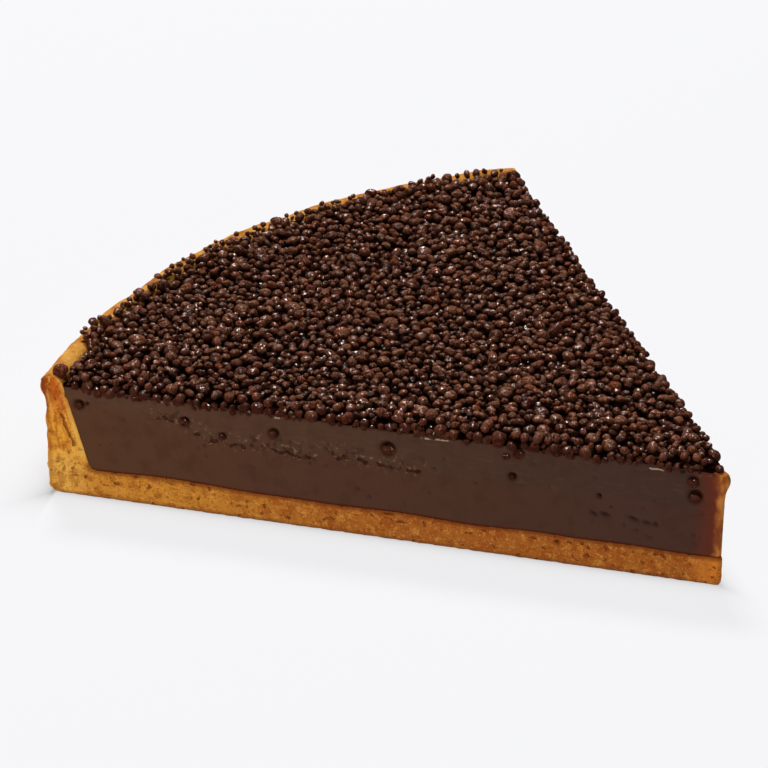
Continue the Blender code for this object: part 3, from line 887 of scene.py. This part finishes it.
class Nodes:
    """Short names for making a material's nodes."""

    def __init__(self, name):
        self.material = bpy.data.materials.new(name)
        self.material.use_nodes = True
        self.tree = self.material.node_tree
        self.shader = self.tree.nodes["Principled BSDF"]
        self.place = self.add("ShaderNodeTexCoord").outputs["Object"]

    def add(self, kind, **settings):
        node = self.tree.nodes.new(kind)
        for key, value in settings.items():
            setattr(node, key, value)
        return node

    def link(self, source, target):
        self.tree.links.new(source, target)

    def put(self, value, socket):
        if isinstance(value, bpy.types.NodeSocket):
            self.link(value, socket)
        else:
            socket.default_value = value

    def stretched(self, scale):
        node = self.add("ShaderNodeMapping")
        node.inputs["Scale"].default_value = scale
        self.link(self.place, node.inputs["Vector"])
        return node.outputs["Vector"]

    def noise(self, size, detail=3.0, roughness=0.5, stretch=None, distortion=0.0):
        """A noise pattern whose waves are about the given size in metres."""
        node = self.add("ShaderNodeTexNoise")
        self.link(self.stretched(stretch) if stretch else self.place, node.inputs["Vector"])
        node.inputs["Scale"].default_value = 1 / size
        node.inputs["Detail"].default_value = detail
        node.inputs["Roughness"].default_value = roughness
        node.inputs["Distortion"].default_value = distortion
        return node.outputs["Fac"]

    def cells(self, size, feature="F1"):
        node = self.add("ShaderNodeTexVoronoi", feature=feature)
        self.link(self.place, node.inputs["Vector"])
        node.inputs["Scale"].default_value = 1 / size
        return node.outputs["Distance"]

    def mark(self, name):
        """A number stored at the mesh's vertices."""
        return self.add("ShaderNodeAttribute", attribute_name=name).outputs["Fac"]

    def ramp(self, value, low, high, to_low=0.0, to_high=1.0):
        node = self.add("ShaderNodeMapRange", interpolation_type="SMOOTHSTEP")
        self.put(value, node.inputs["Value"])
        for socket, number in (("From Min", low), ("From Max", high), ("To Min", to_low), ("To Max", to_high)):
            node.inputs[socket].default_value = number
        return node.outputs["Result"]

    def math(self, operation, first, second=0.0):
        node = self.add("ShaderNodeMath", operation=operation)
        self.put(first, node.inputs[0])
        self.put(second, node.inputs[1])
        return node.outputs["Value"]

    def mix(self, amount, first, second, blend="MIX"):
        node = self.add("ShaderNodeMix", data_type="RGBA", blend_type=blend)
        self.put(amount, node.inputs["Factor"])
        self.put(first, node.inputs[6])
        self.put(second, node.inputs[7])
        return node.outputs[2]

    def bump(self, height, distance, strength=1.0, below=None):
        node = self.add("ShaderNodeBump")
        node.inputs["Strength"].default_value = strength
        node.inputs["Distance"].default_value = distance
        self.put(height, node.inputs["Height"])
        if below is not None:
            self.link(below, node.inputs["Normal"])
        return node.outputs["Normal"]

    def beyond(self, direction, origin):
        """How far the surface lies from an origin along a direction, in metres."""
        node = self.add("ShaderNodeVectorMath", operation="DOT_PRODUCT")
        self.link(self.place, node.inputs[0])
        node.inputs[1].default_value = direction
        return self.math("SUBTRACT", node.outputs["Value"], Vector(origin).dot(Vector(direction)))

    def on_front(self):
        """1 on the front cut and 0 elsewhere."""
        node = self.add("ShaderNodeSeparateXYZ")
        self.link(self.place, node.inputs["Vector"])
        return self.ramp(node.outputs["Y"], SHELL_LOW.y + 0.8 * MM, SHELL_LOW.y + 1.2 * MM, 1, 0)

    def stroke(self, start, end, width, wobble):
        """A soft line on the front cut between two (distance from the tip, height) points in
        millimetres, as a number from 0 to 1. It wanders by the wobble, a socket in metres."""
        first, last = (Vector((TIP_X - d * MM, 0, h * MM)) for d, h in (start, end))
        length = (last - first).length
        onward = (last - first) / length
        across = Vector((-onward.z, 0, onward.x))
        off_line = self.math("ABSOLUTE", self.math("ADD", self.beyond(across, first), wobble))
        past_middle = self.math("ABSOLUTE", self.beyond(onward, (first + last) / 2))
        near = self.ramp(off_line, 0.4 * width, width, 1, 0)
        within = self.ramp(past_middle, length / 2, length / 2 + width, 1, 0)
        return self.math("MULTIPLY", near, within)

    def strokes(self, points, width, wobble):
        """The strokes between the points of a line, as one."""
        total = 0.0
        for start, end in zip(points, points[1:]):
            total = self.math("MAXIMUM", total, self.stroke(start, end, width, wobble))
        return total

    def finish(self, colour, roughness, normal=None, **constants):
        self.put(colour, self.shader.inputs["Base Color"])
        self.put(roughness, self.shader.inputs["Roughness"])
        if normal is not None:
            self.link(normal, self.shader.inputs["Normal"])
        for socket, value in constants.items():
            self.shader.inputs[socket.replace("_", " ")].default_value = value
        return self.material


def pastry_material():
    n = Nodes("baked_pastry")
    crumb = n.mix(n.ramp(n.mark("tipward"), 0.01, 0.09), srgb(248, 184, 80), srgb(216, 142, 48))
    crumb = n.mix(n.ramp(n.mark("tipward"), 0.1, 0.55), crumb, srgb(180, 102, 36))
    crumb = n.mix(n.ramp(n.mark("high"), 0.24, 0.45), crumb, srgb(244, 166, 54))
    crumb = n.mix(n.ramp(n.mark("high"), 0.50, 0.90), crumb, srgb(208, 102, 28))
    crumb = n.mix(n.ramp(n.noise(2.2 * MM, 4), 0.46, 0.64, 0, 0.6), crumb, srgb(160, 74, 18))
    crumb = n.mix(n.ramp(n.noise(1.2 * MM, 4), 0.52, 0.66, 0, 0.40), crumb, srgb(232, 162, 72))
    crumb = n.mix(n.ramp(n.noise(0.45 * MM, 2), 0.55, 0.74, 0, 0.48), crumb, srgb(240, 180, 96))
    crumb = n.mix(n.ramp(n.noise(0.38 * MM, 2), 0.34, 0.46, 0.45, 0), crumb, srgb(150, 72, 22))
    streak = n.noise(1.0 * MM, 3, stretch=(1, 1, 0.3))
    in_wall = n.ramp(n.mark("high"), 0.28, 0.4)
    crumb = n.mix(n.math("MULTIPLY", in_wall, n.ramp(streak, 0.54, 0.66, 0, 0.5)), crumb, srgb(176, 84, 22))
    crumb = n.mix(n.math("MULTIPLY", in_wall, n.ramp(streak, 0.34, 0.46, 0.5, 0)), crumb, srgb(252, 190, 86))
    skin_streak = n.ramp(n.noise(1.6 * MM, 3, stretch=(1, 1, 0.35)), 0.35, 0.6, 0.25, 0.85)
    crumb = n.mix(n.math("MULTIPLY", n.mark("yellow_skin"), skin_streak), crumb, srgb(244, 190, 90))
    crumb = n.mix(n.math("MULTIPLY", n.mark("at_edge"), 0.6), crumb, srgb(136, 66, 22))
    lip = n.math("MULTIPLY", n.mark("at_edge"), n.ramp(n.mark("high"), 0.72, 0.9))
    crumb = n.mix(lip, crumb, srgb(138, 54, 18))
    # Painted glow of light through the thin tip.
    glow = n.math("MULTIPLY", n.ramp(n.mark("tipward"), 0.95, 0.985), n.ramp(n.noise(1.6 * MM, 3), 0.35, 0.6, 0.5, 1))
    crumb = n.mix(glow, crumb, srgb(222, 128, 44))
    # A painted contact shadow: darker and greyer along the bottom edge.
    crumb = n.mix(n.ramp(n.mark("high"), 0.0, 0.04, 0.5, 0.0), crumb, srgb(124, 84, 52))
    crumb = n.mix(n.math("MULTIPLY", n.mark("soaked"), 0.75), crumb, srgb(122, 54, 20))
    pits = n.ramp(n.noise(1.0 * MM, 0), 0.70, 0.84)
    cracks = n.ramp(n.noise(1.6 * MM, 1, stretch=(0.35, 0.35, 1.5)), 0.70, 0.82)
    holes = n.math("MAXIMUM", pits, cracks)
    holes = n.math("MULTIPLY", holes, n.math("SUBTRACT", 0.95, n.math("MULTIPLY", in_wall, 0.45)))
    wander = n.math("MULTIPLY", n.math("SUBTRACT", n.noise(1.2 * MM, 2), 0.5), 1.4 * MM)
    split = n.math("MULTIPLY", n.strokes(WALL_SPLIT, 0.34 * MM, wander), n.on_front())
    holes = n.math("MAXIMUM", holes, split)
    # The pits, cracks and split are painted darker: painted shade in them.
    crumb = n.mix(n.math("MULTIPLY", holes, 0.72), crumb, srgb(122, 48, 14))
    baked = n.mix(n.ramp(n.noise(7 * MM, 4), 0.35, 0.65), srgb(212, 138, 46), srgb(230, 164, 72))
    baked = n.mix(n.ramp(n.noise(3 * MM, 4, distortion=0.6), 0.50, 0.70, 0, 0.7), baked, srgb(180, 90, 24))
    baked = n.mix(n.ramp(n.noise(0.7 * MM, 3), 0.52, 0.70, 0, 0.5), baked, srgb(250, 204, 128))
    baked = n.mix(n.ramp(n.noise(1.1 * MM, 3), 0.54, 0.70, 0, 0.45), baked, srgb(170, 88, 28))
    baked = n.mix(n.math("MULTIPLY", n.mark("toast"), n.ramp(n.noise(6 * MM, 2), 0.4, 0.65, 0.0, 0.65)),
                  baked, srgb(160, 74, 24))
    colour = n.mix(n.mark("section"), baked, crumb)
    # Pores are painted darker: painted shade in them.
    colour = n.mix(n.math("MULTIPLY", n.mark("pore"), 0.5), colour, srgb(116, 50, 15))
    grain = n.bump(n.noise(0.4 * MM, 3, 0.6), 0.16 * MM)
    grain = n.bump(n.math("MULTIPLY", holes, n.math("MULTIPLY", n.mark("section"), -1)), 0.35 * MM, below=grain)
    return n.finish(colour, n.ramp(n.noise(1.2 * MM), 0.3, 0.7, 0.62, 0.85), grain, Specular_IOR_Level=0.08)


def cream_material():
    n = Nodes("set_chocolate")
    lower = n.mix(n.mark("tipward"), srgb(95, 60, 39), srgb(80, 52, 41))
    upper = n.mix(n.mark("tipward"), srgb(96, 64, 45), srgb(75, 51, 41))
    colour = n.mix(n.mark("smeared"), lower, upper)
    colour = n.mix(n.ramp(n.noise(3 * MM, 4), 0.45, 0.75, 0, 0.3), colour, srgb(66, 38, 26))
    streaky = n.math("MULTIPLY", n.ramp(n.noise(0.9 * MM, 3, stretch=(0.3, 1, 1.2)), 0.52, 0.72), n.mark("smeared"))
    colour = n.mix(n.math("MULTIPLY", streaky, 0.2), colour, srgb(112, 78, 54))
    dark_bits = n.math("MULTIPLY", n.mark("near_line"), n.ramp(n.noise(1.1 * MM, 3), 0.52, 0.66, 0, 0.6))
    colour = n.mix(dark_bits, colour, srgb(52, 24, 16))
    pale_bits = n.math("MULTIPLY", n.mark("near_line"), n.ramp(n.noise(0.9 * MM, 3), 0.55, 0.70, 0, 0.75))
    colour = n.mix(pale_bits, colour, srgb(140, 104, 74))
    wander = n.math("MULTIPLY", n.math("SUBTRACT", n.noise(1.3 * MM, 3), 0.5), 1.8 * MM)
    broken = n.math("MULTIPLY", n.ramp(n.noise(1.4 * MM, 2), 0.44, 0.60), n.on_front())
    bits = n.math("MULTIPLY", n.ramp(n.noise(0.8 * MM, 2), 0.56, 0.64), n.on_front())
    groove, rib = 0.0, 0.0
    for run in DRAG_LINES:
        groove = n.math("MAXIMUM", groove, n.strokes(run, 0.46 * MM, wander))
        rib = n.math("MAXIMUM", rib, n.strokes([(d, h - 0.5) for d, h in run], 0.26 * MM, wander))
    groove = n.math("MULTIPLY", groove, broken)
    rib = n.math("MULTIPLY", rib, bits)
    colour = n.mix(n.math("MULTIPLY", groove, 0.68), colour, srgb(50, 18, 11))
    colour = n.mix(n.math("MULTIPLY", rib, 0.7), colour, srgb(176, 128, 94))
    # Pits, scuffs and the hollows above the pressed-in pearls are painted near black: painted shade in them.
    colour = n.mix(n.math("MULTIPLY", n.mark("pit"), 0.75), colour, srgb(36, 14, 9))
    # Painted highlights along the top edge of the cut.
    shine = 0.0
    for run in SHINY_EDGES:
        shine = n.math("MAXIMUM", shine, n.strokes(run, 0.22 * MM, n.math("MULTIPLY", wander, 0.3)))
    shine = n.math("MULTIPLY", shine, n.math("MULTIPLY", n.on_front(), n.ramp(n.noise(0.7 * MM, 2), 0.40, 0.55)))
    colour = n.mix(n.math("MULTIPLY", shine, 0.8), colour, srgb(196, 168, 140))
    # Painted glow of light through the thin tip: redder, then amber, towards it.
    waist = n.math("MULTIPLY", n.mark("height"), n.math("SUBTRACT", 1.0, n.mark("height")))
    edge = n.math("ADD", n.mark("from_tip"), n.math("MULTIPLY", n.math("SUBTRACT", n.noise(2.2 * MM, 3), 0.5), 0.25))
    edge = n.math("ADD", edge, n.math("MULTIPLY", waist, 0.22))
    colour = n.mix(n.ramp(edge, 0.16, 0.62, 0.85, 0.0), colour, srgb(112, 46, 27))
    painted_tip_glow = n.mix(n.ramp(n.noise(1.5 * MM, 3, stretch=(1, 1, 0.5)), 0.38, 0.62), srgb(156, 82, 32), srgb(208, 130, 56))
    colour = n.mix(n.ramp(edge, 0.05, 0.22, 1.0, 0.0), colour, painted_tip_glow)
    colour = n.mix(n.ramp(n.mark("height"), 0.0, 0.04, 0.8, 0.0), colour, srgb(90, 30, 12))
    relief = n.bump(n.noise(0.5 * MM, 2, stretch=(1, 1, 0.15)), 0.03 * MM)
    relief = n.bump(n.math("SUBTRACT", rib, groove), 0.30 * MM, below=relief)
    return n.finish(colour, n.ramp(n.noise(2 * MM), 0.3, 0.7, 0.42, 0.56), relief, Specular_IOR_Level=0.08)


def pearl_material():
    n = Nodes("chocolate_pearls")
    colour = n.mix(n.mark("tint"), srgb(66, 28, 16), srgb(144, 90, 62))
    colour = n.mix(n.ramp(n.mark("warmth"), 0.70, 1.0, 0, 0.7), colour, srgb(138, 62, 26))
    colour = n.mix(n.ramp(n.mark("warmth"), 0.0, 0.2, 0.6, 0.0), colour, srgb(58, 24, 20))
    colour = n.mix(n.ramp(n.noise(1.2 * MM, 2), 0.42, 0.60, 0, 0.5), colour, srgb(104, 40, 15))
    colour = n.mix(n.ramp(n.noise(0.7 * MM, 1), 0.52, 0.66, 0, 0.55), colour, srgb(58, 19, 9))
    colour = n.mix(n.ramp(n.noise(0.5 * MM, 1), 0.52, 0.66, 0, 0.55), colour, srgb(172, 116, 80))
    # Painted shade: each pearl's sides are darker than its top.
    colour = n.mix(n.math("MULTIPLY", n.mark("side"), 0.60), colour, srgb(68, 21, 9))
    # Partly own colour, partly painted shade against the low front lamp: pearls near the cuts are darker and redder.
    colour = n.mix(n.math("MULTIPLY", n.mark("at_cut"), 0.35), colour, srgb(88, 32, 17))
    # Painted shade, with glaze: darker undersides, deep pearls and pearls pressed into the cut.
    colour = n.mix(n.mark("glaze_and_painted_shade"), colour, srgb(24, 6, 3))
    facets = n.bump(n.noise(0.5 * MM, 1), 0.42 * MM)
    n.link(n.bump(n.noise(0.6 * MM, 1), 0.24 * MM), n.shader.inputs["Coat Normal"])
    return n.finish(colour, 0.55, facets, Specular_IOR_Level=0.10, Coat_Weight=0.60, Coat_Roughness=0.04,
                    Coat_IOR=1.55)


def bed_material():
    n = Nodes("glaze_bed_painted_shade")
    # Near black: glaze, coloured as painted shade in the gaps between the pearls.
    colour = n.mix(n.ramp(n.noise(2 * MM), 0.4, 0.6), srgb(14, 4, 2), srgb(34, 11, 6))
    return n.finish(colour, 0.5, n.bump(n.noise(0.8 * MM, 2), 0.1 * MM), Specular_IOR_Level=0.0)


def dress(piece, material, slot, *nodes):
    """Gives a piece its material, hangs it on the root body and hides the CAD parts that it stands for."""
    piece.data.materials.clear()
    piece.data.materials.append(material)
    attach(piece, "root")
    if nodes:
        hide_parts(*nodes)


# ---- The object --------------------------------------------------------------------------------------

dress(make_crust(), pastry_material(), "baked_pastry", "pastry_shell")
dress(make_filling(), cream_material(), "set_chocolate", "chocolate_filling")
dress(make_bed(), bed_material(), "chocolate_pearls", "pearl_topping")
pearl_look = pearl_material()
pile = pile_pearls(np.random.default_rng(101))
print("pearls in the heap:", len(pile))
kinds = share_out(pile, np.random.default_rng(102))
triangles = 0
for number, (kind, cells) in enumerate((
    ("under", 3), ("small", 3), ("round", 4), ("lumpy", 4), ("large", 5), ("dimpled", 5), ("joined", 5), ("long", 4),
)):
    piece = make_pearls("pearls_" + kind, kind, kinds[kind], cells, 110 + number)
    dress(piece, pearl_look, "chocolate_pearls")
    triangles += 2 * len(piece.data.polygons)
    print(kind, len(kinds[kind]), "triangles", 2 * len(piece.data.polygons))
print("pearl triangles", triangles)

# ---- Floor, light and camera --------------------------------------------------------------------------

AIM = Vector(TART_CENTRE) + Vector((-66, 36, 12)) * MM
VIEW_AZIMUTH = math.radians(15.2)
VIEW_ELEVATION = math.radians(28.9)
VIEW_DISTANCE = 600 * MM
FOCAL_LENGTH = 154.7
SENSOR = 36.0
FRAME_OFFSET = (-3.03 * MM, -1.39 * MM)


def make_floor():
    bpy.ops.mesh.primitive_plane_add(size=8.0, location=(0, 0, -0.02 * MM))
    floor = bpy.context.active_object
    floor.name = "floor"
    n = Nodes("pale_floor")
    n.finish(srgb(100, 100, 101), 0.9, Specular_IOR_Level=0.0)
    n.shader.inputs["Emission Color"].default_value = srgb(247, 247, 249)
    # The floor's glow is lowered round the slice's outline: a painted contact shadow.
    centre = (TART_CENTRE[0], TART_CENTRE[1], 0)
    past_front = n.beyond((0, -1, 0), centre)
    past_back = n.beyond((math.sin(SLICE_ANGLE), math.cos(SLICE_ANGLE), 0), centre)
    from_centre = n.add("ShaderNodeVectorMath", operation="DISTANCE")
    n.link(n.place, from_centre.inputs[0])
    from_centre.inputs[1].default_value = centre
    past_rim = n.math("SUBTRACT", from_centre.outputs["Value"], RADIUS - 1 * MM)
    away = n.math("MAXIMUM", n.math("MAXIMUM", past_front, past_back), n.math("MAXIMUM", past_rim, 0.0))
    light = 0.87
    for depth, reach, where in ((0.25, 1.2 * MM, 1.0), (0.34, 3.5 * MM, n.ramp(past_rim, -0.5 * MM, 0.5 * MM))):
        fade = n.math("POWER", math.e, n.math("MULTIPLY", away, -1 / reach))
        light = n.math("SUBTRACT", light, n.math("MULTIPLY", n.math("MULTIPLY", fade, depth), where))
    n.link(light, n.shader.inputs["Emission Strength"])
    floor.visible_glossy = False
    floor.data.materials.append(n.material)


def make_lamp(name, place, aim, size, watts, mirrored=True):
    lamp = bpy.data.lights.new(name, "AREA")
    lamp.shape = "RECTANGLE"
    lamp.size, lamp.size_y = size
    lamp.energy = watts
    holder = bpy.data.objects.new(name, lamp)
    holder.location = place
    holder.rotation_euler = (Vector(aim) - Vector(place)).to_track_quat("-Z", "Y").to_euler()
    holder.visible_glossy = mirrored
    bpy.context.scene.collection.objects.link(holder)


def make_camera():
    back = Vector((math.sin(VIEW_AZIMUTH) * math.cos(VIEW_ELEVATION),
                   -math.cos(VIEW_AZIMUTH) * math.cos(VIEW_ELEVATION), math.sin(VIEW_ELEVATION)))
    right = Vector((math.cos(VIEW_AZIMUTH), math.sin(VIEW_AZIMUTH), 0))
    up = back.cross(right)
    middle = AIM + right * FRAME_OFFSET[0] + up * FRAME_OFFSET[1]
    camera = bpy.data.cameras.new("camera")
    camera.lens = FOCAL_LENGTH
    camera.sensor_width = SENSOR
    camera.clip_start = 0.01
    holder = bpy.data.objects.new("camera", camera)
    holder.location = middle + back * VIEW_DISTANCE
    holder.rotation_euler = back.to_track_quat("Z", "Y").to_euler()
    bpy.context.scene.collection.objects.link(holder)
    bpy.context.scene.camera = holder


def make_world():
    world = bpy.data.worlds.new("soft_white")
    world.use_nodes = True
    world.node_tree.nodes["Background"].inputs["Color"].default_value = (1, 1, 1, 1)
    world.node_tree.nodes["Background"].inputs["Strength"].default_value = 0.03
    bpy.context.scene.world = world


make_floor()
make_world()
make_lamp("back_left", (-0.36, 0.60, 1.12), (0, 0, 0), (0.34, 0.26), 14.5)
make_lamp("above_front", (0.15, -0.30, 0.85), (0, 0, 0), (0.12, 0.12), 1.6)
make_lamp("low_front", (-0.42, -0.42, 0.035), (-0.02, -0.03, 0.035), (0.5, 0.06), 1.2, mirrored=False)
make_camera()
bpy.context.scene.view_settings.view_transform = "Standard"
